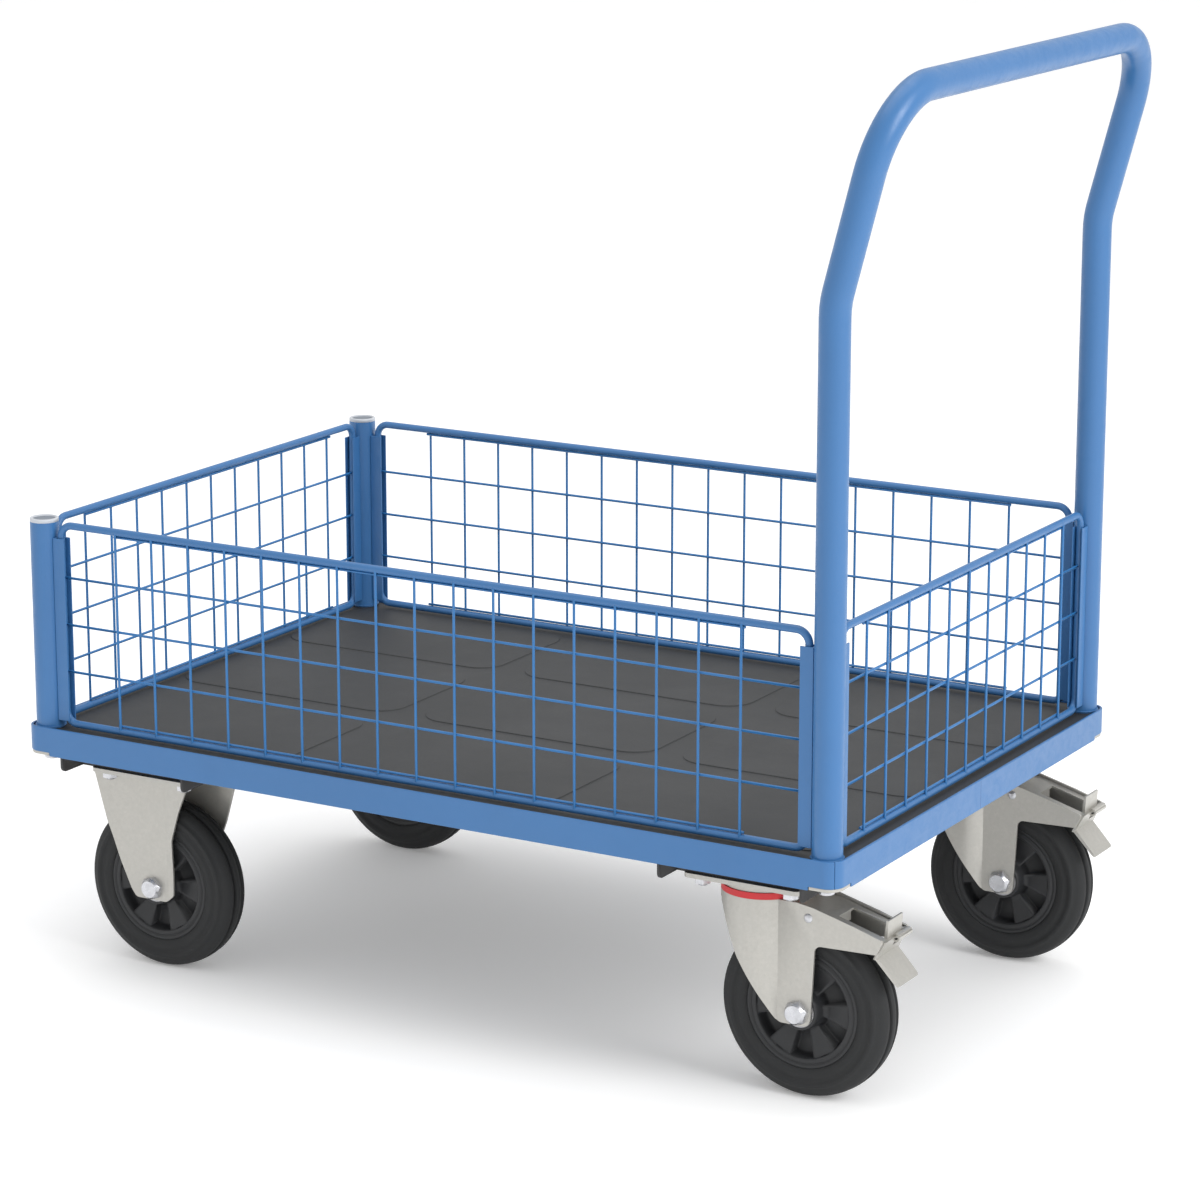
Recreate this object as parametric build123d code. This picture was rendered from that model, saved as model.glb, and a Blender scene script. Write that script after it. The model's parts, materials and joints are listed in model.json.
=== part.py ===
from build123d import *
import math
import os

# Platform truck with four lift-out mesh sides, a one-piece push handle,
# two fixed castors and two braked swivel castors.  Millimetres, +Z up.
# X runs along the deck (the push handle stands at +X), Y across it.
# The origin is on the floor, under the middle of the whole truck's outline.

# ---------------------------------------------------------------- dimensions
DECK_L, DECK_W = 1047.0, 699.0      # outside of the steel skirt
CORNER_R = 18.0                     # plan radius of the skirt's corners
RIM_Z = 293.5                       # top edge of the skirt above the floor
SKIRT_H = 34.0                      # height of the skirt
SKIRT_T = 3.0                       # sheet thickness of the skirt
NOTCH_L, NOTCH_H = 34.0, 4.2        # step in the skirt's lower edge at a corner
LEDGE_W, LEDGE_T = 28.0, 3.0        # inner ledge that carries the board
BOARD_T = 12.0                      # plywood board
DECK_Z = RIM_Z - 1.8                # top of the board's pads, just below the rim
PAD_H, PAD_R = 1.2, 34.0            # low raised pads on the board, three by three
PAD_L, PAD_W, PAD_GAP = 308.0, 189.0, 34.0
BASE_Z = DECK_Z - PAD_H             # board surface between the pads

POST_X, POST_Y = 501.5, 328.5       # centres of the corner posts
TUBE_R, TUBE_WALL = 16.5, 2.0       # posts and push handle
POST_TOP = RIM_Z + 239.0            # tube end of the two short posts
BEND_Z = 870.0                      # lower bend of the push handle
BAR_Z = 1083.5                      # centre of the push bar
TILT = 15.0                         # outward lean of the handle's upper part
R_LOW, R_TOP = 100.0, 85.0          # centre-line radii of the handle's bends

ROD_R = 4.25                        # round bar of a panel's outer loop
WIRE_R = 1.5                        # mesh wires
PITCH = 50.0                        # spacing of the upright wires
N_SIDE, N_END = 17, 11              # upright wires on a side and on an end panel
ROD_GAP = 19.5                      # post centre to the outside of the loop
LOOP_R = 15.0                       # bend radius of the loop's centre line
ROD_LOW, ROD_TOP = RIM_Z + 3.4, RIM_Z + 236.9   # centre heights of the rails
WIRE_Z = [RIM_Z + 9.7, RIM_Z + 65.0, RIM_Z + 120.3, RIM_Z + 175.6, RIM_Z + 231.0]
STUB = 3.5                          # end of the top and bottom wires past the last upright
UP_OFF, CROSS_OFF = 2.6, -0.1       # wire planes, outward from the loop's plane

GUIDE_W, GUIDE_D, GUIDE_T = 13.0, 15.0, 1.5     # U-shaped panel guides
GUIDE_Z0, GUIDE_Z1 = RIM_Z + 7.0, RIM_Z + 221.5

CH_W, CH_T = 172.0, 3.0             # castor channels, open at the top
CH_LX, CH_RX = -390.0, 396.0        # their middle lines
CH_Z = 242.0                        # underside of a channel, top of a castor plate
CH_FLOOR = 308.0                    # the trough's floor ends this far from the middle

WHEEL_R, WHEEL_W = 100.0, 46.0      # tyre
CASTOR_Y = 257.2                    # wheel mid-planes
FIX_AX = -392.5                     # axle of the fixed wheels
SW_X = 391.0                        # swivel axes
SW_AX = 448.0                       # axle of the swivel wheels at rest
PLATE_L, PLATE_W, PLATE_T = 140.0, 110.0, 5.0
HOLE_X, HOLE_Y = 105.0, 80.0        # castor plate bolt pattern
FORK_IN, FORK_OUT = 28.5, 31.5      # faces of the fork legs from the mid-plane
HEAD_R = 46.0                       # swivel head
CROWN_Z = 222.0                     # top of the swivel fork's crown
BORE_R = 11.0                       # outside of the axle sleeve
PIVOT_X, PIVOT_Z = 460.0, 207.0     # brake pedal pivot

HANDLE_LEAN = (BAR_Z - BEND_Z) * math.tan(math.radians(TILT))
X_MIN = -DECK_L / 2
X_MAX = POST_X + HANDLE_LEAN + TUBE_R
X_SHIFT = -(X_MIN + X_MAX) / 2      # puts the origin under the outline's middle

PARTS = {}


def put(name, *solids):
    """Collect the solids of one named piece or group of identical pieces."""
    out = []
    for s in solids:
        for q in (s.solids() if hasattr(s, "solids") else s):
            out.append(Pos(X_SHIFT, 0, 0) * q)
    PARTS[name] = out


def box(x0, x1, y0, y1, z0, z1):
    return Pos((x0 + x1) / 2, (y0 + y1) / 2, (z0 + z1) / 2) * Box(x1 - x0, y1 - y0, z1 - z0)


def cyl_z(x, y, r, z0, z1):
    return Pos(x, y, (z0 + z1) / 2) * Cylinder(r, z1 - z0)


def cyl_y(x, z, r, y0, y1):
    return Pos(x, (y0 + y1) / 2, z) * Rot(90, 0, 0) * Cylinder(r, y1 - y0)


def hex_z(x, y, af, z0, z1, turn=0.0):
    p = [(x + af / math.sqrt(3) * math.cos(math.radians(60 * k + turn)),
          y + af / math.sqrt(3) * math.sin(math.radians(60 * k + turn)), z0) for k in range(6)]
    return extrude(make_face(Polyline(*p, close=True)), amount=z1 - z0, dir=(0, 0, 1))


def hex_y(x, z, af, y0, y1, turn=0.0):
    p = [(x + af / math.sqrt(3) * math.cos(math.radians(60 * k + turn)), y0,
          z + af / math.sqrt(3) * math.sin(math.radians(60 * k + turn))) for k in range(6)]
    return extrude(make_face(Polyline(*p, close=True)), amount=y1 - y0, dir=(0, 1, 0))


def rounded(points):
    """Face from (x, y, z, corner radius) points in one plane; radius 0 is sharp."""
    n = len(points)
    pts = [Vector(*p[:3]) for p in points]
    rad = [p[3] for p in points]
    ins, outs, mids = [], [], []
    for i in range(n):
        a, b, c = pts[i - 1], pts[i], pts[(i + 1) % n]
        if rad[i] <= 0:
            ins.append(b), outs.append(b), mids.append(None)
            continue
        u, v = (a - b).normalized(), (c - b).normalized()
        half = math.acos(max(-1, min(1, u.dot(v)))) / 2
        t = rad[i] / math.tan(half)
        bis = (u + v).normalized()
        centre = b + bis * (rad[i] / math.sin(half))
        ins.append(b + u * t), outs.append(b + v * t), mids.append(centre - bis * rad[i])
    edges = []
    for i in range(n):
        if mids[i] is not None:
            edges.append(ThreePointArc(ins[i], mids[i], outs[i]))
        nxt = ins[(i + 1) % n]
        if (nxt - outs[i]).length > 1e-6:
            edges.append(Line(outs[i], nxt))
    return make_face(edges)


def prism_y(points, y0, y1):
    """Extrude an XZ outline of (x, z, corner radius) points from y0 to y1."""
    return extrude(rounded([(x, y0, z, r) for x, z, r in points]), amount=y1 - y0, dir=(0, 1, 0))


def spin_y(points):
    """Turn a (y, radius) outline about the Y axis."""
    return revolve(make_face(Polyline(*[(0, y, r) for y, r in points], close=True)), axis=Axis.Y)


def plan(l, w, r, z0, z1, cx=0.0, cy=0.0):
    return extrude(Pos(cx, cy, z0) * RectangleRounded(l, w, r), amount=z1 - z0)


# ------------------------------------------------------------- skirt and deck
outer = plan(DECK_L, DECK_W, CORNER_R, RIM_Z - SKIRT_H, RIM_Z)
inner = plan(DECK_L - 2 * SKIRT_T, DECK_W - 2 * SKIRT_T, CORNER_R - SKIRT_T, RIM_Z - SKIRT_H - 1, RIM_Z + 1)
ring = outer - inner
ledge_z1 = DECK_Z - BOARD_T
ledge = plan(DECK_L - 2 * SKIRT_T, DECK_W - 2 * SKIRT_T, CORNER_R - SKIRT_T, ledge_z1 - LEDGE_T, ledge_z1) - plan(
    DECK_L - 2 * LEDGE_W, DECK_W - 2 * LEDGE_W, 4, ledge_z1 - LEDGE_T - 1, ledge_z1 + 1)
for sx in (-1, 1):
    for sy in (-1, 1):
        cx, cy = sx * DECK_L / 2, sy * DECK_W / 2
        ring -= box(min(cx - sx * NOTCH_L, cx + sx * 5), max(cx - sx * NOTCH_L, cx + sx * 5),
                    min(cy - sy * NOTCH_L, cy + sy * 5), max(cy - sy * NOTCH_L, cy + sy * 5),
                    RIM_Z - SKIRT_H - 1, RIM_Z - SKIRT_H + NOTCH_H)
        ledge -= cyl_z(sx * POST_X, sy * POST_Y, 9.5, ledge_z1 - LEDGE_T - 1, ledge_z1 + 1)


def wedge(ax, ay, bx, by, cx, cy, dx, dy):
    f = make_face(Polyline((ax, ay, 200), (bx, by, 200), (cx, cy, 200), (dx, dy, 200), close=True))
    return extrude(f, amount=200, dir=(0, 0, 1))


E = 700.0
HL, HW = DECK_L / 2, DECK_W / 2
m = HL - HW                          # mitred at 45 degrees in each corner
sector_n = wedge(-m, 0, m, 0, m + E, -E, -m - E, -E)
sector_f = wedge(m, 0, -m, 0, -m - E, E, m + E, E)
sector_l = wedge(-m, 0.0, -m - E, E, -m - E - 1, 0, -m - E, -E)
sector_r = wedge(m, 0.0, m + E, -E, m + E + 1, 0, m + E, E)
put("side_rails", ring & sector_n, ring & sector_f)
put("end_rails", ring & sector_l, ring & sector_r)
put("board_ledges", ledge & sector_n, ledge & sector_f, ledge & sector_l, ledge & sector_r)

GAP = 0.5
board = plan(DECK_L - 2 * (SKIRT_T + GAP), DECK_W - 2 * (SKIRT_T + GAP), CORNER_R - SKIRT_T - GAP, ledge_z1, BASE_Z)
for i in (-1, 0, 1):
    for j in (-1, 0, 1):
        board += plan(PAD_L, PAD_W, PAD_R, BASE_Z - 1, DECK_Z, i * (PAD_L + PAD_GAP), j * (PAD_W + PAD_GAP))
for sx in (-1, 1):
    for sy in (-1, 1):
        board -= cyl_z(sx * POST_X, sy * POST_Y, 5.5, ledge_z1 - 1, DECK_Z + 1)
put("deck_board", board)


def channel(cx):
    """Upturned trough across the deck; its walls run on past the floor of the trough to the skirt."""
    y = DECK_W / 2 - SKIRT_T
    top = ledge_z1 - LEDGE_T
    o = box(cx - CH_W / 2, cx + CH_W / 2, -y, y, CH_Z, top)
    o -= box(cx - CH_W / 2 + CH_T, cx + CH_W / 2 - CH_T, -y - 1, y + 1, CH_Z + CH_T, top + 1)
    lower = o.edges().filter_by(Axis.Y).group_by(Axis.Z)[0]
    o = fillet(lower, 2.5)
    for sy in (-1, 1):
        a, b = sorted((sy * CH_FLOOR, sy * (y + 1)))
        o -= box(cx - CH_W / 2 + CH_T, cx + CH_W / 2 - CH_T, a, b, CH_Z - 1, CH_Z + CH_T + 1)
        # rounded lower corner at each end of both walls
        s = sy * y
        blank = box(cx - 100, cx + 100, min(s - sy * 7, s + sy), max(s - sy * 7, s + sy), CH_Z - 1, CH_Z + 7)
        blank -= Pos(cx, s - sy * 7, CH_Z + 7) * Rot(0, 90, 0) * Cylinder(7, 210)
        o -= blank
    return o


chan_l, chan_r = channel(CH_LX), channel(CH_RX)

# ------------------------------------------------------- posts, push handle
PLATE_Z1 = RIM_Z - SKIRT_H + NOTCH_H
PLATE_Z0 = PLATE_Z1 - 3.5
corner_plates, post_bolts, spacers, inserts = [], [], [], []
for sx in (-1, 1):
    for sy in (-1, 1):
        px, py = sx * POST_X, sy * POST_Y
        x1, y1 = sx * (HL - 1.0), sy * (HW - 1.0)
        x0, y0 = sx * (HL - NOTCH_L + 1.0), sy * (HW - NOTCH_L + 1.0)
        pl = box(min(x0, x1), max(x0, x1), min(y0, y1), max(y0, y1), PLATE_Z0, PLATE_Z1)
        outer_edge = [e for e in pl.edges().filter_by(Axis.Z)
                      if abs(e.center().X - x1) < 0.1 and abs(e.center().Y - y1) < 0.1]
        pl = fillet(outer_edge, CORNER_R - 1.0)
        pl -= cyl_z(px, py, 5.25, PLATE_Z0 - 1, PLATE_Z1 + 1)
        corner_plates.append(pl)
        head = cyl_z(px, py, 8.5, PLATE_Z0 - 8.0, PLATE_Z0)
        head = fillet(head.edges().group_by(Axis.Z)[0], 1.5)
        head = head - hex_z(px, py, 8.0, PLATE_Z0 - 9.0, PLATE_Z0 - 4.5)
        post_bolts.append(head + cyl_z(px, py, 5.0, PLATE_Z0 - 0.01, BASE_Z + 14))
        spacers.append(cyl_z(px, py, 9.0, PLATE_Z1, ledge_z1) - cyl_z(px, py, 5.25, PLATE_Z1 - 1, ledge_z1 + 1))
        inserts.append(cyl_z(px, py, TUBE_R - TUBE_WALL, BASE_Z, BASE_Z + 12) - cyl_z(px, py, 5.0, BASE_Z - 1, BASE_Z + 13))
put("corner_plates", *corner_plates)
put("post_bolts", *post_bolts)
put("post_spacers", *spacers)
put("post_inserts", *inserts)

posts, caps = [], []
for sy in (-1, 1):
    px, py = -POST_X, sy * POST_Y
    posts.append(cyl_z(px, py, TUBE_R, BASE_Z, POST_TOP) - cyl_z(px, py, TUBE_R - TUBE_WALL, BASE_Z - 1, POST_TOP + 1))
    rimmed = cyl_z(px, py, TUBE_R, POST_TOP, POST_TOP + 4.0)
    rimmed = fillet(rimmed.edges().group_by(Axis.Z)[-1], 1.0)
    rimmed += cyl_z(px, py, TUBE_R - TUBE_WALL, POST_TOP - 14, POST_TOP)
    rimmed -= cyl_z(px, py, TUBE_R - 3.2, POST_TOP + 2.4, POST_TOP + 5)
    rimmed -= cyl_z(px, py, TUBE_R - TUBE_WALL - 2, POST_TOP - 15, POST_TOP - 0.6)
    caps.append(rimmed)
put("corner_posts", *posts)
put("post_caps", *caps)

BAR_X = POST_X + HANDLE_LEAN
route = [Vector(POST_X, -POST_Y, BASE_Z), Vector(POST_X, -POST_Y, BEND_Z), Vector(BAR_X, -POST_Y, BAR_Z),
         Vector(BAR_X, POST_Y, BAR_Z), Vector(POST_X, POST_Y, BEND_Z), Vector(POST_X, POST_Y, BASE_Z)]
route_r = [0, R_LOW, R_TOP, R_TOP, R_LOW, 0]


def pipe(points, radii, r):
    """Round bar along straight runs joined by tangent arcs, from cylinders and torus segments."""
    solid = None
    ends = [points[0]]
    arcs = []
    for i in range(1, len(points) - 1):
        a, b, c = points[i - 1], points[i], points[i + 1]
        u, v = (a - b).normalized(), (c - b).normalized()
        half = math.acos(u.dot(v)) / 2
        t = radii[i] / math.tan(half)
        centre = b + (u + v).normalized() * (radii[i] / math.sin(half))
        arcs.append((b + u * t, b + v * t, centre, u.cross(v).normalized(), 180 - 2 * math.degrees(half), u))
        ends += [b + u * t, b + v * t]
    ends.append(points[-1])
    for k in range(0, len(ends), 2):
        p, q = ends[k], ends[k + 1]
        piece = extrude(Plane(origin=p, z_dir=(q - p)) * Circle(r), amount=(q - p).length)
        solid = piece if solid is None else solid + piece
    for p, q, centre, nrm, turn, u in arcs:
        f = Plane(origin=p, z_dir=-u) * Circle(r)
        seg = revolve(f, axis=Axis(centre, nrm), revolution_arc=-turn)
        solid += seg
    return solid


handle = pipe(route, route_r, TUBE_R) - pipe(route, route_r, TUBE_R - TUBE_WALL)
put("push_handle", handle)

# --------------------------------------------------------------- mesh panels


def loop(half, low, top, r):
    """Closed round-bar loop in the XZ plane at y = 0."""
    c = LOOP_R
    s = None
    for z in (low, top):
        p = Pos(0, 0, z) * Rot(0, 90, 0) * Cylinder(r, 2 * (half - c))
        s = p if s is None else s + p
    for x in (-half, half):
        s += Pos(x, 0, (low + top) / 2) * Cylinder(r, top - low - 2 * c)
    for sx in (-1, 1):
        for z, sz in ((low, 1), (top, -1)):
            cx, cz = sx * (half - c), z + sz * c
            f = Plane(origin=(sx * half, 0, cz), z_dir=(0, 0, 1)) * Circle(r)
            ang = 90 if (sx * sz) > 0 else -90
            s += revolve(f, axis=Axis((cx, 0, cz), (0, 1, 0)), revolution_arc=ang)
    return s


def mesh(half, n, frame_loop):
    """Welded wires; the uprights lie on the -Y side of the loop's plane."""
    span = (n - 1) * PITCH / 2
    g = None
    for k in range(n):
        w = Pos(-span + k * PITCH, -UP_OFF, (ROD_LOW + ROD_TOP) / 2) * Cylinder(WIRE_R, ROD_TOP - ROD_LOW)
        g = w if g is None else g + w
    for i, z in enumerate(WIRE_Z):
        h = span + STUB if i in (0, len(WIRE_Z) - 1) else half
        g += Pos(0, -CROSS_OFF, z) * Rot(0, 90, 0) * Cylinder(WIRE_R, 2 * h)
    return g - frame_loop


side_half = POST_X - ROD_GAP - ROD_R
end_half = POST_Y - ROD_GAP - ROD_R
side_loop = loop(side_half, ROD_LOW, ROD_TOP, ROD_R)
side_mesh = mesh(side_half, N_SIDE, side_loop)
end_loop = loop(end_half, ROD_LOW, ROD_TOP, ROD_R)
end_mesh = mesh(end_half, N_END, end_loop)
place = {"near": Pos(0, -POST_Y, 0), "far": Pos(0, POST_Y, 0) * Rot(0, 0, 180),
         "left": Pos(-POST_X, 0, 0) * Rot(0, 0, -90), "right": Pos(POST_X, 0, 0) * Rot(0, 0, 90)}
for side in ("near", "far"):
    put(f"panel_{side}_frame", place[side] * side_loop)
    put(f"panel_{side}_mesh", place[side] * side_mesh)
for side in ("left", "right"):
    put(f"panel_{side}_frame", place[side] * end_loop)
    put(f"panel_{side}_mesh", place[side] * end_mesh)


def guide(d):
    """U-shaped guide whose web bears on a post that stands at distance d from its middle."""
    web = d - TUBE_R
    o = box(web - GUIDE_D, web + 0.6, -GUIDE_W / 2, GUIDE_W / 2, GUIDE_Z0, GUIDE_Z1)
    o -= box(web - GUIDE_D - 1, web - 2.0, -GUIDE_W / 2 + GUIDE_T, GUIDE_W / 2 - GUIDE_T, GUIDE_Z0 - 1, GUIDE_Z1 + 1)
    return o - cyl_z(d, 0, TUBE_R, GUIDE_Z0 - 1, GUIDE_Z1 + 1)


gs, ge = guide(POST_X), guide(POST_Y)
side_guides, end_guides = [], []
for sy in (-1, 1):
    side_guides += [Pos(0, sy * POST_Y, 0) * gs, Pos(0, sy * POST_Y, 0) * Rot(0, 0, 180) * gs]
for sx in (-1, 1):
    end_guides += [Pos(sx * POST_X, 0, 0) * Rot(0, 0, 90) * ge, Pos(sx * POST_X, 0, 0) * Rot(0, 0, -90) * ge]
put("side_guides", *side_guides)
put("end_guides", *end_guides)

# -------------------------------------------------------------------- castors
PLATE_B = CH_Z - PLATE_T
holes = [(i * HOLE_X / 2, j * HOLE_Y / 2) for i in (-1, 1) for j in (-1, 1)]


def castor_plate(cx, cy, bore=None):
    p = plan(PLATE_L, PLATE_W, 8, PLATE_B, CH_Z, cx, cy)
    for hx, hy in holes:
        p -= cyl_z(cx + hx, cy + hy, 5.5, PLATE_B - 1, CH_Z + 1)
    if bore:
        p -= cyl_z(cx, cy, bore, PLATE_B - 1, CH_Z + 1)
    return p


castor_at = [(CH_LX, -CASTOR_Y), (CH_LX, CASTOR_Y), (SW_X, -CASTOR_Y), (SW_X, CASTOR_Y)]
bolts, nuts = [], []
for cx, cy in castor_at:
    for hx, hy in holes:
        x, y = cx + hx, cy + hy
        b = hex_z(x, y, 16.0, CH_Z + CH_T, CH_Z + CH_T + 6.4)
        bolts.append(b + cyl_z(x, y, 5.0, PLATE_B - 10, CH_Z + CH_T + 0.01))
        n = hex_z(x, y, 16.0, PLATE_B - 8, PLATE_B) - cyl_z(x, y, 5.0, PLATE_B - 9, PLATE_B + 1)
        nuts.append(n)
        hole = cyl_z(x, y, 5.5, CH_Z - 1, CH_Z + CH_T + 1)
        if cx < 0:
            chan_l -= hole
        else:
            chan_r -= hole
for sy in (-1, 1):
    chan_r -= cyl_z(SW_X, sy * CASTOR_Y, 12.0, CH_Z - 1, CH_Z + CH_T + 1)
put("castor_channel_left", chan_l)
put("castor_channel_right", chan_r)
put("castor_bolts", *bolts)
put("castor_nuts", *nuts)
put("fixed_castor_plates", *[castor_plate(CH_LX, s * CASTOR_Y) for s in (-1, 1)])


def wheel():
    """Tyre, rim and roller cage of one wheel, axis on Y, centred on the origin."""
    r = WHEEL_R
    half = [(0, r), (3.9, r - 0.1), (4.3, r - 0.6), (4.8, r - 3.8), (8.8, r - 4.0), (9.3, r - 1.2), (9.8, r - 0.8), (13.2, r - 2.0),
            (16.6, r - 4.4), (19.2, r - 8.0), (20.6, r - 11.6), (22.2, r - 12.4), (23.0, r - 14.0), (23.0, r - 16.8),
            (21.6, r - 18.2), (21.4, r - 22.0), (22.4, r - 23.4), (22.3, r - 26.5), (21.2, r - 30.0), (20.4, r - 33.9),
            (14.0, r - 33.9), (12.0, r - 38.0), (0, r - 38.0)]
    prof = half + [(-y, q) for y, q in reversed(half[1:-1])]
    tyre = spin_y(prof)
    edge = [(12.0, r - 38.0), (14.0, r - 33.9), (19.4, r - 33.9), (20.4, r - 34.9), (20.4, r - 37.4), (19.2, r - 38.2),
            (19.2, r - 39.4), (20.6, r - 40.2), (20.6, r - 44.0), (19.8, r - 45.0), (7.0, r - 47.0), (4.5, r - 49.0),
            (4.5, 27.0), (8.0, 25.0), (27.5, 21.0), (28.0, 20.4), (28.0, 18.0)]
    rim = spin_y([(-y, q) for y, q in edge] + [(y, q) for y, q in reversed(edge)])
    for k in range(6):
        a0, a1 = math.radians(60 * k - 15), math.radians(60 * k + 15)
        for s in (-1, 1):
            # raised sector whose face falls from the rim towards the hub
            inn, out = 22.0, 56.0
            p = [(inn * math.cos(a0), 0, inn * math.sin(a0)), (out * math.cos(a0), 0, out * math.sin(a0)),
                 (out * math.cos(a1), 0, out * math.sin(a1)), (inn * math.cos(a1), 0, inn * math.sin(a1))]
            blk = extrude(make_face(Polyline(*p, close=True)), amount=19.5, dir=(0, s, 0))
            cone = spin_y([(0, 0), (s * 12.0, 0), (s * 13.0, inn), (s * 18.2, out - 2), (s * 18.2, out + 1), (0, out + 1)])
            rim += blk & cone
    cage = spin_y([(-27.6, BORE_R + 0.05), (-27.6, 18.0), (27.6, 18.0), (27.6, BORE_R + 0.05)])
    return tyre, rim, cage


tyre, rim, cage = wheel()


def axle(x, y):
    """Bolt with domed hexagon head on the -Y side, and its nut."""
    z = WHEEL_R
    y0, y1 = y - FORK_OUT, y + FORK_OUT
    head = hex_y(x, z, 24.0, y0 - 9.0, y0, 15) & Pos(x, y0, z) * Rot(90, 0, 0) * Cone(
        16.5, 9.5, 9.5, align=(Align.CENTER, Align.CENTER, Align.MIN))
    bolt = head + cyl_y(x, z, 8.0, y0 - 0.01, y1 + 16)
    nut = (hex_y(x, z, 24.0, y1, y1 + 13, 15) & cyl_y(x, z, 13.2, y1, y1 + 13)) - cyl_y(x, z, 8.0, y1 - 1, y1 + 14)
    sleeve = cyl_y(x, z, BORE_R, y - FORK_IN, y + FORK_IN) - cyl_y(x, z, 8.05, y - FORK_IN - 1, y + FORK_IN + 1)
    return bolt, nut, sleeve


for side, sy in (("near", -1), ("far", 1)):
    y = sy * CASTOR_Y
    for kind, x in (("fixed", FIX_AX), ("swivel", SW_AX)):
        at = Pos(x, y, WHEEL_R)
        put(f"{kind}_tyre_{side}", at * tyre)
        put(f"{kind}_rim_{side}", at * rim)
        put(f"{kind}_roller_cage_{side}", at * cage)

ax_f = [axle(FIX_AX, s * CASTOR_Y) for s in (-1, 1)]
put("fixed_axle_bolts", *[q for a in ax_f for q in a[:2]])
put("fixed_axle_sleeves", *[a[2] for a in ax_f])

# fixed fork: two flat legs under a narrow crown; the far leg is the near one turned half round
LEG = [(-81.5, PLATE_B, 0), (-62, 172, 120), (-46, 128, 120), (-31, 95, 20), (-24, 85.2, 8), (19, 85.2, 9),
       (28, 93, 6), (28.3, 118, 0), (27.0, 160, 30), (35.5, 193.5, 60), (45.5, 223, 8), (45.0, PLATE_B, 0)]


def fixed_fork(y):
    x = FIX_AX
    near = prism_y([(x + a, b, r) for a, b, r in LEG], y - FORK_OUT, y - FORK_IN)
    far = prism_y([(x - a, b, r) for a, b, r in reversed(LEG)], y + FORK_IN, y + FORK_OUT)
    f = near + far + box(x - 44, x + 44, y - FORK_IN - 1, y + FORK_IN + 1, PLATE_B - 3, PLATE_B)
    return f - cyl_y(x, WHEEL_R, 8.1, y - 60, y + 60)


put("fixed_fork_near", fixed_fork(-CASTOR_Y))
put("fixed_fork_far", fixed_fork(CASTOR_Y))

# swivel castors
KING_R = 8.0
put("swivel_castor_plates", *[castor_plate(SW_X, s * CASTOR_Y, KING_R) for s in (-1, 1)])
put("swivel_upper_races", *[
    cyl_z(SW_X, s * CASTOR_Y, HEAD_R - 1.5, CROWN_Z + 7.3, PLATE_B) - cyl_z(SW_X, s * CASTOR_Y, 20, CROWN_Z + 6, PLATE_B + 1)
    for s in (-1, 1)])
put("kingpins", *[
    cyl_z(SW_X, s * CASTOR_Y, KING_R, CROWN_Z - 10, CH_Z) + hex_z(SW_X, s * CASTOR_Y, 24, CROWN_Z - 9.5, CROWN_Z - 3.3)
    for s in (-1, 1)])


def swivel_fork(y):
    """Round head whose wall runs down into two flat legs with rearward arms for the pedal."""
    x = SW_X
    t = FORK_OUT - FORK_IN
    flat = x + math.sqrt(HEAD_R ** 2 - FORK_OUT ** 2)      # where the round wall meets the flat legs
    side = prism_y([(x - 46.6, CROWN_Z + 2, 0), (x - 46.6, 211, 0), (x - 34, 209, 10), (x - 21, 181, 0), (x - 10.5, 158, 60),
                    (x + 13, 121, 0), (x + 23, 105, 0), (x + 34, 85.5, 9), (x + 72, 85.5, 9), (x + 75, 136, 0),
                    (x + 77, 177.5, 8), (x + 149, 179.5, 3), (x + 157, 195.5, 3), (x + 122, 206.5, 60), (x + 74, 219.3, 60),
                    (x + 42, CROWN_Z + 2, 0)], y - 60, y + 60)
    body = cyl_z(x, y, HEAD_R, 75, CROWN_Z) - cyl_z(x, y, HEAD_R - t, 74, CROWN_Z - t)
    body -= box(flat, x + 100, y - 60, y + 60, 70, CROWN_Z + 1)
    body += box(flat - 4, x + 42, y - FORK_OUT, y + FORK_OUT, CROWN_Z - t, CROWN_Z)
    for sgn in (-1, 1):
        a, b = sorted((y + sgn * FORK_IN, y + sgn * FORK_OUT))
        body += box(flat - 0.6, x + 170, a, b, 75, CROWN_Z)
    body -= box(x - 60, x, y - FORK_IN, y + FORK_IN, 60, 213)
    body = body & side
    body -= cyl_z(x, y, KING_R + 0.05, CROWN_Z - 10, CROWN_Z + 5)
    body -= cyl_y(SW_AX, WHEEL_R, 8.1, y - 60, y + 60)
    body -= cyl_y(PIVOT_X, PIVOT_Z, 4.0, y - 60, y + 60)
    return body


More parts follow.
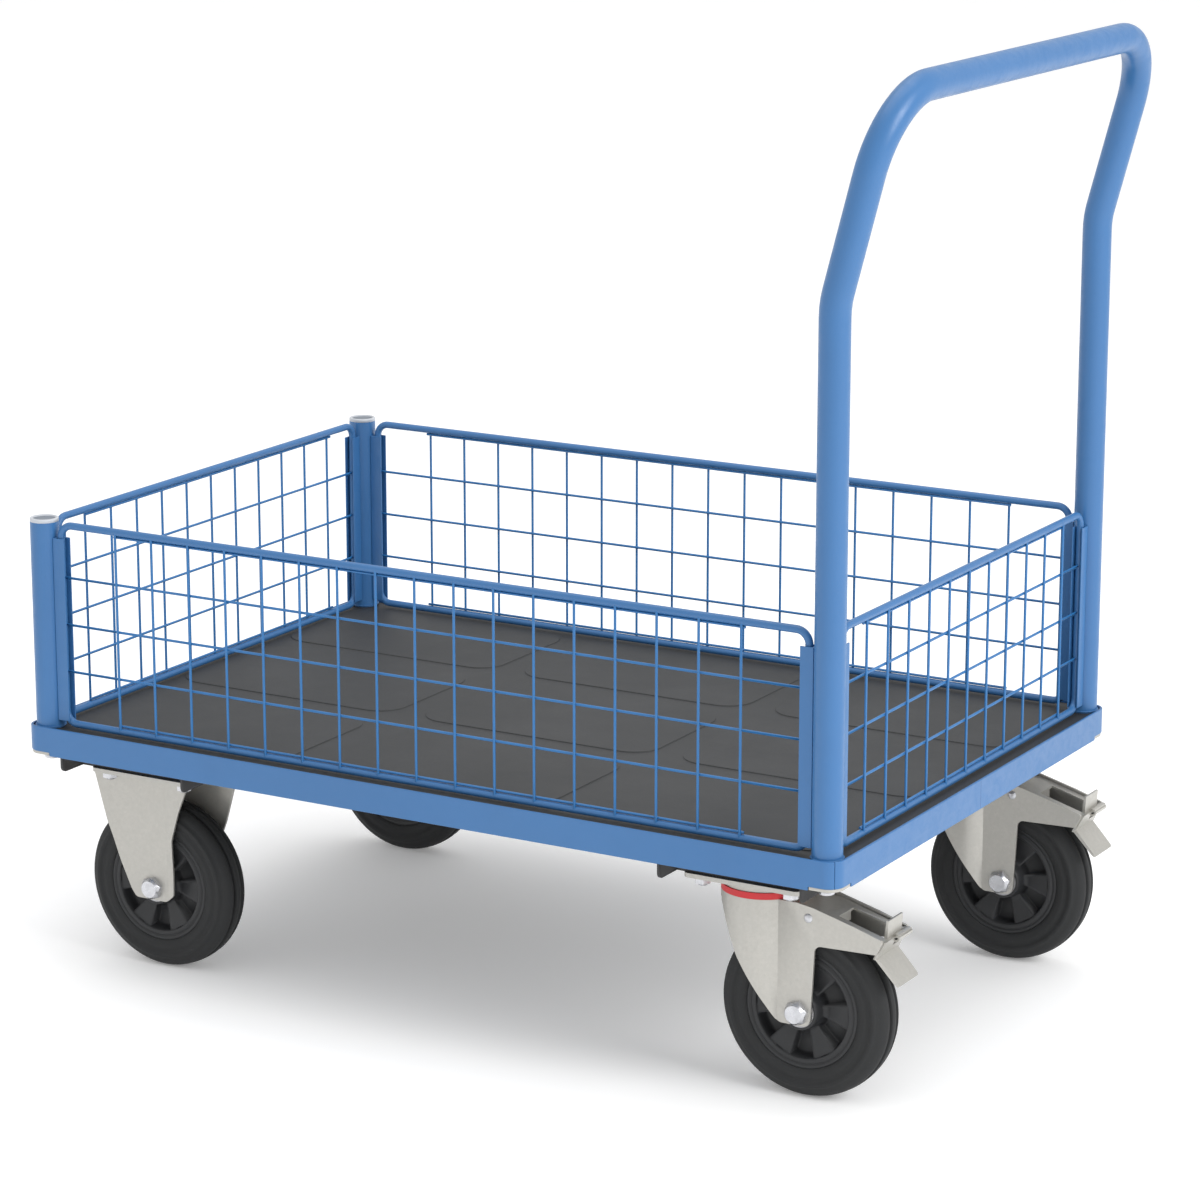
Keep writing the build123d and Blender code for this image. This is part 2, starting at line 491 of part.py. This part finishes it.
def pedal(y):
    """Pressed lever between the fork's arms, with window, upturned tab, rolled lip, flap and brake shoe."""
    w = FORK_IN - 0.8
    top = [(436.6, 217.4), (470.0, 215.6), (546.0, 193.9), (546.6, 191.4), (470.0, 212.9), (436.6, 214.9)]
    plate = prism_y([(a, b, 0) for a, b in top], y - w, y + w)
    plate -= box(489, 541.5, y - 17, y + 17, 180, 230)
    tab = prism_y([(542.0, 195.0, 0), (544.3, 214.0, 0), (546.8, 214.0, 0), (545.5, 193.5, 0), (541.5, 192.8, 0)], y - 17, y + 17)
    lip = prism_y([(543.0, 195.2, 0), (549.0, 196.4, 0), (552.3, 195.6, 0), (552.3, 193.0, 0), (545.0, 191.6, 0)], y - 4, y + w)
    roll = cyl_y(549.3, 192.3, 4.3, y - 4, y + w) - cyl_y(549.3, 192.3, 2.2, y - 5, y + w + 1)
    roll -= box(540, 560, y - 5, y + w + 1, 193.4, 200)
    neck = prism_y([(546.0, 193.9, 0), (549.6, 194.2, 0), (537.6, 172.6, 0), (534.6, 173.4, 0), (544.0, 191.0, 0)], y - w, y + 1)
    strip = prism_y([(541.6, 181.0, 0), (538.0, 172.8, 0), (534.6, 173.4, 0), (539.0, 182.4, 0)], y - w, y + w)
    flap = prism_y([(534.4, 175.2, 0), (537.4, 175.2, 0), (563.6, 146.6, 0), (561.4, 144.6, 0), (533.6, 173.6, 0)], y - 24, y + 24)
    corner = [e for e in flap.edges() if e.center().Z < 147 and e.length < 5 and abs(e.center().Y - y) > 20]
    flap = fillet(corner, 4.0) if corner else flap
    cheeks = None
    for sgn in (-1, 1):
        a, b = sorted((y + sgn * w, y + sgn * (w - 2.5)))
        c = prism_y([(437.0, 216.4, 0), (437.0, 210.5, 3), (450.5, 203.0, 6), (457.0, 200.6, 4), (470.0, 201.6, 4), (545.0, 186.0, 3),
                     (546.0, 192.0, 0), (470.0, 214.6, 0)], a, b)
        cheeks = c if cheeks is None else cheeks + c
    shoe = prism_y([(467.0, 213.2, 0), (467.0, 202.8, 1), (487.0, 195.9, 1), (487.0, 209.0, 0)], y - 15, y + 15)
    o = plate + tab + lip + roll + neck + strip + flap + cheeks + shoe
    return o - cyl_y(PIVOT_X, PIVOT_Z, 4.05, y - 40, y + 40)


for side, sy in (("near", -1), ("far", 1)):
    y = sy * CASTOR_Y
    put(f"swivel_fork_{side}", swivel_fork(y))
    put(f"seal_ring_{side}", cyl_z(SW_X, y, HEAD_R, CROWN_Z, CROWN_Z + 7.0) - cyl_z(SW_X, y, HEAD_R - 6, CROWN_Z - 1, CROWN_Z + 8))
    put(f"swivel_balls_{side}", *[Pos(SW_X + 31 * math.cos(math.radians(30 * k)), y + 31 * math.sin(math.radians(30 * k)),
                                      CROWN_Z + 3.45) * Sphere(3.4) for k in range(12)])
    b, n, s = axle(SW_AX, y)
    put(f"swivel_axle_bolt_{side}", b, n)
    put(f"swivel_axle_sleeve_{side}", s)
    pin = cyl_y(PIVOT_X, PIVOT_Z, 4.0, y - FORK_OUT - 0.2, y + FORK_OUT + 0.2)
    for sgn in (-1, 1):
        dome = Pos(PIVOT_X, y + sgn * (FORK_OUT - 5.6), PIVOT_Z) * Sphere(7.6)
        a, b2 = sorted((y + sgn * FORK_OUT, y + sgn * (FORK_OUT + 4)))
        pin += dome & box(PIVOT_X - 20, PIVOT_X + 20, a, b2, PIVOT_Z - 20, PIVOT_Z + 20)
    put(f"brake_pin_{side}", pin)
    put(f"brake_pedal_{side}", pedal(y))

# -------------------------------------------------------------------- export
os.makedirs("parts", exist_ok=True)
for name, solids in PARTS.items():
    shape = solids[0] if len(solids) == 1 else Compound(children=solids)
    export_step(shape, f"parts/{name}.step")
print(len(PARTS), "nodes", sum(len(s) for s in PARTS.values()), "solids")
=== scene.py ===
import json
import math
import random

import bmesh
import bpy
from mathutils import Matrix, Vector


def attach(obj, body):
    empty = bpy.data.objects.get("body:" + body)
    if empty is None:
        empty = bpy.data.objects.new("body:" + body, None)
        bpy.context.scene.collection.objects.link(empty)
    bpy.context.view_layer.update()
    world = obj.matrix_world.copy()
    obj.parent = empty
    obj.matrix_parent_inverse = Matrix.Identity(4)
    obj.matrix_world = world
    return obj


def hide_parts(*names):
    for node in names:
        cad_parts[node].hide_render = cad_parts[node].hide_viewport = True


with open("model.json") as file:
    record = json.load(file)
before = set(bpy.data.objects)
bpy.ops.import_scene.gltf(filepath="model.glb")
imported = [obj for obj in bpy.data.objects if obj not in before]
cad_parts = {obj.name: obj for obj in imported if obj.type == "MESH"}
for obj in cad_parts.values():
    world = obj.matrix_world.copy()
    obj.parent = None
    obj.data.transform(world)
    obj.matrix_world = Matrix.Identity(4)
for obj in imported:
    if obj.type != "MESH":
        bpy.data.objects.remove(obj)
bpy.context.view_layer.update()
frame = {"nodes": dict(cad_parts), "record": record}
random.seed(7)

SCENE = bpy.context.scene
NODES = frame["nodes"]
XS = -0.0258536            # the platform's middle, along X
DECK_Z = 0.2917
RIM_Z = 0.2935
POST_X, POST_Y = 0.5015, 0.3285


# ------------------------------------------------------------------ materials
def srgb(r, g, b):
    out = []
    for c in (r, g, b):
        c = c / 255.0
        out.append(c / 12.92 if c <= 0.04045 else ((c + 0.055) / 1.055) ** 2.4)
    return (*out, 1.0)


def shade(c, k):
    return (c[0] * k, c[1] * k, c[2] * k, 1.0)


class Mat:
    """A small helper round one node material."""

    def __init__(self, name):
        self.m = bpy.data.materials.new(name)
        self.m.use_nodes = True
        self.t = self.m.node_tree
        self.t.nodes.clear()
        self.out = self.t.nodes.new("ShaderNodeOutputMaterial")
        self.b = self.t.nodes.new("ShaderNodeBsdfPrincipled")
        self.t.links.new(self.b.outputs[0], self.out.inputs[0])
        self.co = self.t.nodes.new("ShaderNodeTexCoord").outputs["Object"]

    def link(self, a, b):
        self.t.links.new(a, b)

    def set(self, name, v):
        self.b.inputs[name].default_value = v

    def mapping(self, scale=(1, 1, 1), rot=(0, 0, 0)):
        n = self.t.nodes.new("ShaderNodeMapping")
        n.inputs["Scale"].default_value = scale
        n.inputs["Rotation"].default_value = rot
        self.link(self.co, n.inputs["Vector"])
        return n.outputs[0]

    def noise(self, scale, detail=4.0, rough=0.55, dist=0.0, vec=None):
        n = self.t.nodes.new("ShaderNodeTexNoise")
        n.inputs["Scale"].default_value = scale
        n.inputs["Detail"].default_value = detail
        n.inputs["Roughness"].default_value = rough
        n.inputs["Distortion"].default_value = dist
        self.link(vec if vec is not None else self.co, n.inputs["Vector"])
        return n.outputs["Fac"]

    def voronoi(self, scale, feature="F1", vec=None, out="Distance", rand=1.0):
        n = self.t.nodes.new("ShaderNodeTexVoronoi")
        n.feature = feature
        n.inputs["Scale"].default_value = scale
        n.inputs["Randomness"].default_value = rand
        self.link(vec if vec is not None else self.co, n.inputs["Vector"])
        return n.outputs[out]

    def ramp(self, fac, stops):
        n = self.t.nodes.new("ShaderNodeValToRGB")
        els = n.color_ramp.elements
        while len(els) < len(stops):
            els.new(0.5)
        for e, (p, c) in zip(els, stops):
            e.position = p
            e.color = c if len(c) == 4 else (*c, 1)
        self.link(fac, n.inputs["Fac"])
        return n.outputs["Color"]

    def grey(self, fac, a, b, lo=0.3, hi=0.7):
        return self.ramp(fac, [(lo, (a, a, a, 1)), (hi, (b, b, b, 1))])

    def mix(self, fac, a, b, mode="MIX"):
        n = self.t.nodes.new("ShaderNodeMix")
        n.data_type = "RGBA"
        n.blend_type = mode
        for s, v in ((n.inputs[0], fac), (n.inputs[6], a), (n.inputs[7], b)):
            if hasattr(v, "links"):
                self.link(v, s)
            else:
                s.default_value = v
        return n.outputs[2]

    def math(self, op, a, b=None):
        n = self.t.nodes.new("ShaderNodeMath")
        n.operation = op
        for s, v in zip(n.inputs, (a, b)):
            if v is None:
                continue
            if hasattr(v, "links"):
                self.link(v, s)
            else:
                s.default_value = v
        return n.outputs[0]

    def bump(self, *layers):
        """layers of (height socket, strength, distance in metres)"""
        last = None
        for h, strength, dist in layers:
            n = self.t.nodes.new("ShaderNodeBump")
            n.inputs["Strength"].default_value = strength
            n.inputs["Distance"].default_value = dist
            self.link(h, n.inputs["Height"])
            if last is not None:
                self.link(last, n.inputs["Normal"])
            last = n.outputs[0]
        self.link(last, self.b.inputs["Normal"])

    def edges(self, a=0.5, b=0.56):
        g = self.t.nodes.new("ShaderNodeNewGeometry").outputs["Pointiness"]
        return self.ramp(g, [(a, (0, 0, 0, 1)), (b, (1, 1, 1, 1))])


def powder_coat(name, base, rough=0.36):
    """Satin powder coat: orange-peel ripple, faint tone shifts, dull handling marks, tiny rub marks."""
    m = Mat(name)
    big = m.noise(3.1, 3, 0.5)
    mid = m.noise(26.0, 5, 0.6)
    peel = m.noise(950.0, 2, 0.5)
    fine = m.noise(2600.0, 3, 0.6)
    c = m.mix(m.grey(big, 0.0, 1.0, 0.35, 0.65), shade(base, 0.965), shade(base, 1.035))
    c = m.mix(m.grey(mid, 0.0, 0.35, 0.45, 0.75), c, shade(base, 0.93))
    dust = m.noise(420.0, 6, 0.75)
    c = m.mix(m.grey(dust, 0.0, 0.16, 0.66, 0.78), c, srgb(200, 208, 214))
    m.link(c, m.b.inputs["Base Color"])
    rub = m.noise(60.0, 6, 0.7, 0.6)
    r = m.mix(m.grey(rub, 0.0, 1.0, 0.40, 0.66), (rough - 0.05,) * 3 + (1,), (rough + 0.10,) * 3 + (1,))
    m.link(r, m.b.inputs["Roughness"])
    m.set("Specular IOR Level", 0.5)
    m.set("Coat Weight", 0.08)
    m.set("Coat Roughness", 0.22)
    m.bump((peel, 0.16, 0.0004), (fine, 0.07, 0.0002), (mid, 0.05, 0.0012))
    return m.m


def film_board(name):
    """Film-faced board: dark grey skin with a fine woven grain, scuffs, dust and faint long scratches."""
    m = Mat(name)
    base = srgb(53, 54, 55)
    big = m.noise(5.0, 5, 0.6)
    grain = m.noise(430.0, 4, 0.7)
    fine = m.noise(1800.0, 3, 0.6)
    streak = m.noise(9.0, 8, 0.75, 0.4, m.mapping((0.35, 7.0, 1.0), (0, 0, 0.12)))
    c = m.mix(m.grey(big, 0.0, 1.0, 0.3, 0.7), shade(base, 0.90), shade(base, 1.10))
    c = m.mix(m.grey(grain, 0.0, 0.55, 0.35, 0.72), c, shade(base, 1.38))
    c = m.mix(m.grey(fine, 0.0, 0.45, 0.45, 0.70), c, shade(base, 0.62))
    c = m.mix(m.grey(streak, 0.0, 0.16, 0.56, 0.70), c, shade(base, 1.6))
    m.link(c, m.b.inputs["Base Color"])
    m.link(m.grey(big, 0.52, 0.68, 0.3, 0.7), m.b.inputs["Roughness"])
    m.set("Specular IOR Level", 0.35)
    weave = m.t.nodes.new("ShaderNodeTexWave")
    weave.inputs["Scale"].default_value = 260.0
    weave.inputs["Distortion"].default_value = 1.2
    weave.inputs["Detail"].default_value = 2.0
    m.link(m.co, weave.inputs["Vector"])
    m.bump((weave.outputs["Fac"], 0.05, 0.0002), (grain, 0.22, 0.0005), (fine, 0.16, 0.0002))
    return m.m


# Dark grey material meant for the side faces of raised steps: painted shade standing in for their shadowed sides.
# Nothing below uses it.
def painted_step_shade(name):
    m = Mat(name)
    n = m.noise(500.0, 4, 0.7)
    m.link(m.mix(m.grey(n, 0.0, 1.0), srgb(38, 39, 40), srgb(54, 55, 57)), m.b.inputs["Base Color"])
    m.link(m.grey(n, 0.7, 0.9), m.b.inputs["Roughness"])
    m.bump((n, 0.3, 0.0003))
    return m.m


def galvanised(name, base, metal=0.62, rough=0.33):
    """Zinc-coated sheet: fine rolled grain, soft spangle, dull patches and short scratches."""
    m = Mat(name)
    grain = m.noise(240.0, 6, 0.75)
    fine = m.noise(1500.0, 4, 0.7)
    patch = m.noise(32.0, 5, 0.6, 0.3)
    spangle = m.voronoi(260.0, out="Color")
    sp = m.t.nodes.new("ShaderNodeRGBToBW")
    m.link(spangle, sp.inputs[0])
    c = m.mix(m.grey(patch, 0.0, 1.0, 0.32, 0.68), shade(base, 0.93), shade(base, 1.04))
    c = m.mix(m.grey(grain, 0.0, 0.75, 0.30, 0.72), c, shade(base, 0.86))
    c = m.mix(m.grey(fine, 0.0, 0.4, 0.45, 0.72), c, shade(base, 1.10))
    c = m.mix(m.math("MULTIPLY", sp.outputs[0], 0.22), c, shade(base, 0.80))
    m.link(c, m.b.inputs["Base Color"])
    r = m.mix(m.grey(patch, 0.0, 1.0, 0.3, 0.7), (rough - 0.06,) * 3 + (1,), (rough + 0.12,) * 3 + (1,))
    r = m.mix(m.math("MULTIPLY", sp.outputs[0], 0.5), r, (rough + 0.2,) * 3 + (1,))
    m.link(r, m.b.inputs["Roughness"])
    m.set("Metallic", metal)
    m.bump((grain, 0.10, 0.0004), (fine, 0.10, 0.0002), (patch, 0.05, 0.0015))
    return m.m


def zinc_bolt(name, base):
    m = Mat(name)
    fine = m.noise(900.0, 5, 0.7)
    stain = m.noise(110.0, 5, 0.65, 0.5)
    c = m.mix(m.grey(stain, 0.0, 0.8, 0.4, 0.72), base, shade(base, 0.78))
    c = m.mix(m.grey(fine, 0.0, 0.4, 0.45, 0.7), c, shade(base, 1.1))
    m.link(c, m.b.inputs["Base Color"])
    m.link(m.grey(stain, 0.22, 0.42, 0.3, 0.7), m.b.inputs["Roughness"])
    m.set("Metallic", 0.85)
    m.bump((fine, 0.10, 0.0002), (stain, 0.06, 0.0006))
    return m.m


def rubber(name, base, rough=0.72):
    """Solid rubber: fine pitted skin, chalky bloom, greyer dusty tread."""
    m = Mat(name)
    pit = m.noise(1300.0, 5, 0.7)
    blot = m.noise(38.0, 6, 0.65, 0.4)
    speck = m.noise(520.0, 6, 0.8)
    c = m.mix(m.grey(blot, 0.0, 1.0, 0.32, 0.7), shade(base, 0.86), shade(base, 1.18))
    c = m.mix(m.grey(speck, 0.0, 0.28, 0.6, 0.78), c, srgb(126, 124, 120))
    m.link(c, m.b.inputs["Base Color"])
    m.link(m.grey(blot, rough - 0.08, rough + 0.12, 0.3, 0.7), m.b.inputs["Roughness"])
    m.set("Specular IOR Level", 0.4)
    m.bump((pit, 0.22, 0.0003), (blot, 0.06, 0.0010))
    return m.m


def plastic(name, base, rough=0.48):
    """Moulded plastic: spark-eroded texture, faint flow tone, dull rubbed spots."""
    m = Mat(name)
    vdi = m.noise(1500.0, 3, 0.6)
    flow = m.noise(18.0, 4, 0.6, 1.2)
    c = m.mix(m.grey(flow, 0.0, 1.0, 0.3, 0.7), shade(base, 0.93), shade(base, 1.07))
    dust = m.noise(360.0, 6, 0.8)
    c = m.mix(m.grey(dust, 0.0, 0.12, 0.62, 0.8), c, srgb(190, 188, 184))
    m.link(c, m.b.inputs["Base Color"])
    m.link(m.grey(flow, rough - 0.05, rough + 0.09, 0.3, 0.7), m.b.inputs["Roughness"])
    m.set("Specular IOR Level", 0.45)
    m.bump((vdi, 0.14, 0.0002), (flow, 0.03, 0.0012))
    return m.m


def weld(name, base):
    m = Mat(name)
    n = m.noise(260.0, 4, 0.6)
    m.link(m.mix(m.grey(n, 0, 1), shade(base, 0.88), shade(base, 1.04)), m.b.inputs["Base Color"])
    m.link(m.grey(n, 0.34, 0.5), m.b.inputs["Roughness"])
    m.bump((n, 0.4, 0.0012))
    return m.m


BLUE = srgb(57, 110, 164)
MATS = {
    "frame_paint": powder_coat("frame_paint", BLUE),
    "panel_paint": powder_coat("panel_paint", shade(BLUE, 0.98), 0.38),
    "wire_paint": powder_coat("wire_paint", srgb(44, 112, 172), 0.38),
    "deck_film": film_board("deck_film"),
    "channel_paint": plastic("channel_paint", srgb(52, 52, 53), 0.5),
    "cap_plastic": plastic("cap_plastic", srgb(196, 200, 206), 0.4),
    "tyre_rubber": rubber("tyre_rubber", srgb(39, 40, 41)),
    "rim_plastic": plastic("rim_plastic", srgb(40, 41, 43), 0.5),
    "bearing_steel": zinc_bolt("bearing_steel", srgb(175, 175, 178)),
    "seal_plastic": plastic("seal_plastic", srgb(202, 44, 50), 0.4),
    "bolt_zinc": zinc_bolt("bolt_zinc", srgb(205, 206, 210)),
    "turned_steel": zinc_bolt("turned_steel", srgb(170, 170, 172)),
    "castor_zinc": galvanised("castor_zinc", srgb(188, 186, 180)),
}
CAP_DISC = plastic("cap_disc", srgb(112, 120, 132), 0.4)
SLOT = {s["node"]: s["material_slot"] for s in frame["record"]["subparts"]}
BODY = {n: b for b, ns in frame["record"]["behaviour"]["bodies"].items() for n in ns}

for name, obj in NODES.items():
    obj.data.materials.clear()
    obj.data.materials.append(MATS[SLOT[name]])


# ------------------------------------------------- refined copies of CAD nodes
def refined(name, width=0.0, segments=2, crease=32.0, mat=None):
    """A shown copy of a CAD node with merged vertices, smooth curved faces and small edge rounds."""
    src = NODES[name]
    me = src.data.copy()
    me.name = name + "_skin"
    obj = bpy.data.objects.new(name + "_skin", me)
    SCENE.collection.objects.link(obj)
    bm = bmesh.new()
    bm.from_mesh(me)
    bmesh.ops.remove_doubles(bm, verts=bm.verts, dist=2e-6)
    bmesh.ops.dissolve_degenerate(bm, dist=1e-6, edges=bm.edges)
    if width:
        bmesh.ops.dissolve_limit(bm, angle_limit=math.radians(0.4), verts=bm.verts, edges=bm.edges)
    for f in bm.faces:
        f.smooth = True
    bm.to_mesh(me)
    bm.free()
    me.set_sharp_from_angle(angle=math.radians(crease))
    if width:
        mod = obj.modifiers.new("round", "BEVEL")
        mod.width = width
        mod.segments = segments
        mod.limit_method = "ANGLE"
        mod.angle_limit = math.radians(38)
        mod.harden_normals = True
        mod.use_clamp_overlap = True
        mod.miter_outer = "MITER_ARC"
    if mat:
        me.materials.clear()
        me.materials.append(mat)
    body = BODY[name]
    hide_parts(name)
    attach(obj, body)
    return obj


def fold(obj, mid_x, mid_y):
    """Turns the margins of a fixed fork's legs slightly in towards the wheel along two creases."""
    bm = bmesh.new()
    bm.from_mesh(obj.data)
    for sgn in (-1, 1):
        for dx in (-0.055, 0.022):
            x = mid_x - sgn * dx
            for w in (-0.0012, 0.0012):
                geom = [f for f in bm.faces if (f.calc_center_median().y - mid_y) * sgn > 0.02]
                geom += list({e for f in geom for e in f.edges}) + list({v for f in geom for v in f.verts})
                bmesh.ops.bisect_plane(bm, geom=geom, dist=1e-7, plane_co=(x + w, 0, 0), plane_no=(1, 0, 0))
    for v in bm.verts:
        off = v.co.y - mid_y
        if abs(off) < 0.0270 or v.co.z > 0.2345:
            continue
        sgn = 1 if off > 0 else -1
        a = -sgn * (v.co.x - mid_x)
        over = 0.30 * max(a - 0.022, 0.0) - 0.15 * max(-0.055 - a, 0.0)
        v.co.y -= sgn * over * min(1.0, (0.2345 - v.co.z) / 0.010)
    bm.to_mesh(obj.data)
    bm.free()
    obj.data.set_sharp_from_angle(angle=math.radians(32))


ROUND = {
    "side_rails": 0.0010, "end_rails": 0.0010, "board_ledges": 0.0005, "side_guides": 0.0005, "end_guides": 0.0005, "castor_channel_left": 0.0,
    "castor_channel_right": 0.0, "fixed_castor_plates": 0.0006, "swivel_castor_plates": 0.0006, "corner_plates": 0.0004,
    "deck_board": 0.0006, "fixed_fork_near": 0.0007, "fixed_fork_far": 0.0007,
    "brake_pedal_near": 0.0004, "brake_pedal_far": 0.0004,
    "swivel_fork_near": 0.0005, "swivel_fork_far": 0.0005,
    "fixed_axle_bolts": 0.0006, "swivel_axle_bolt_near": 0.0006, "swivel_axle_bolt_far": 0.0006, "castor_nuts": 0.0005,
}
SKIN = {name: refined(name, ROUND.get(name, 0.0)) for name in NODES}
for side, sy in (("near", -1), ("far", 1)):
    fold(SKIN[f"fixed_fork_{side}"], XS - 0.3925, sy * 0.2572)


# --------------------------------------------------------------- added detail
def mesh_object(name, verts, faces, mat, body, smooth=True):
    me = bpy.data.meshes.new(name)
    me.from_pydata([tuple(v) for v in verts], [], faces)
    for p in me.polygons:
        p.use_smooth = smooth
    me.materials.append(mat)
    o = bpy.data.objects.new(name, me)
    SCENE.collection.objects.link(o)
    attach(o, body)
    return o


def catmull(pts, per=10):
    out = []
    n = len(pts)
    for i in range(n - 1):
        p0, p1, p2, p3 = pts[max(i - 1, 0)], pts[i], pts[i + 1], pts[min(i + 2, n - 1)]
        for k in range(per):
            t = k / per
            out.append(0.5 * ((2 * p1) + (p2 - p0) * t + (2 * p0 - 5 * p1 + 4 * p2 - p3) * t * t
                              + (3 * p1 - p0 - 3 * p2 + p3) * t * t * t))
    out.append(pts[-1])
    return out




def weld_ring(name, x, y, z, r, bead, lean=0.0):
    """A rippled fillet of weld round an upright tube, standing on the board's edge."""
    verts, faces = [], []
    n, k = 96, 8
    for i in range(n):
        a = 2 * math.pi * i / n
        wob = 1 + 0.10 * math.sin(a * 23 + x * 50) + 0.06 * math.sin(a * 41 + y * 30)
        for j in range(k):
            b = 2 * math.pi * j / k
            rr = r + bead * 0.25 + bead * wob * 0.75 * math.cos(b)
            verts.append((x + rr * math.cos(a), y + rr * math.sin(a), z + bead * 0.45 + bead * 0.45 * wob * math.sin(b)))
    for i in range(n):
        for j in range(k):
            faces.append((i * k + j, ((i + 1) % n) * k + j, ((i + 1) % n) * k + (j + 1) % k, i * k + (j + 1) % k))
    return mesh_object(name, verts, faces, WELD, "platform")


WELD = weld("weld_paint", BLUE)
for i, sx in enumerate((-1, 1)):
    for j, sy in enumerate((-1, 1)):
        weld_ring(f"post_weld_{i}{j}", XS + sx * POST_X, sy * POST_Y, DECK_Z, 0.0165, 0.0016)


# darker grey discs laid flat on the caps' tops, over their slight dish
for i, sy in enumerate((-1, 1)):
    cx, cy, cz = XS - POST_X, sy * POST_Y, 0.2935 + 0.2390 + 0.00245
    ring = [(cx + 0.0131 * math.cos(2 * math.pi * k / 64), cy + 0.0131 * math.sin(2 * math.pi * k / 64), cz) for k in range(64)]
    mesh_object(f"cap_disc_{i}", ring, [tuple(range(64))], CAP_DISC, "platform", smooth=False)

# butt seam in the middle of the end rail on the handle's side
seam_x, seam_w = XS + 0.52352, 0.00035
mesh_object("end_rail_seam", [(seam_x, -seam_w, 0.2612), (seam_x, seam_w, 0.2612), (seam_x, seam_w, 0.2925), (seam_x, -seam_w, 0.2925)],
            [(0, 1, 2, 3)], powder_coat("seam_paint", srgb(34, 74, 120), 0.6), "platform")


# ----------------------------------------------------------- floor and lights
fl = Mat("floor")
fl_n = fl.noise(6.0, 4, 0.5)
fl.link(fl.mix(fl.grey(fl_n, 0, 1), (0.955, 0.955, 0.955, 1), (0.965, 0.965, 0.965, 1)), fl.b.inputs["Base Color"])
fl.set("Roughness", 0.9)
fl.set("Specular IOR Level", 0.1)
fl.set("Emission Color", (1.0, 1.0, 1.0, 1.0))
fl.set("Emission Strength", 0.17)
me = bpy.data.meshes.new("floor")
F = 30.0
me.from_pydata([(-F, -F, 0), (F, -F, 0), (F, F, 0), (-F, F, 0)], [], [(0, 1, 2, 3)])
me.materials.append(fl.m)
floor = bpy.data.objects.new("floor", me)
SCENE.collection.objects.link(floor)

world = bpy.data.worlds.new("studio")
SCENE.world = world
world.use_nodes = True
bg = world.node_tree.nodes["Background"]
bg.inputs[0].default_value = (1.0, 1.0, 1.0, 1)
bg.inputs[1].default_value = 0.86


def area(name, loc, target, sx, sy, watts, colour=(1, 1, 1)):
    d = bpy.data.lights.new(name, "AREA")
    d.shape = "RECTANGLE"
    d.size, d.size_y, d.energy, d.color = sx, sy, watts, colour
    o = bpy.data.objects.new(name, d)
    o.location = loc
    o.rotation_mode = "QUATERNION"
    o.rotation_quaternion = (Vector(target) - Vector(loc)).to_track_quat("-Z", "Y")
    SCENE.collection.objects.link(o)
    return o


area("key", (4.4, -0.7, 2.9), (0, 0, 0.4), 2.4, 2.4, 118)
area("top", (-0.4, 0.2, 4.2), (0, 0, 0.3), 3.4, 3.4, 45)

cam = bpy.data.cameras.new("camera")
cam.sensor_width = 36.0
cam.lens = 120.845
cam.clip_start, cam.clip_end = 0.1, 60.0
cam_o = bpy.data.objects.new("camera", cam)
SCENE.collection.objects.link(cam_o)
yaw, pitch = math.radians(30.1215), math.radians(14.1348)
cam_o.location = (2.26368, -3.87786, 1.56491)
fwd = Vector((-math.sin(yaw) * math.cos(pitch), math.cos(yaw) * math.cos(pitch), -math.sin(pitch)))
cam_o.rotation_mode = "QUATERNION"
cam_o.rotation_quaternion = fwd.to_track_quat("-Z", "Y")
SCENE.camera = cam_o
SCENE.view_settings.view_transform = "Standard"
SCENE.view_settings.look = "None"
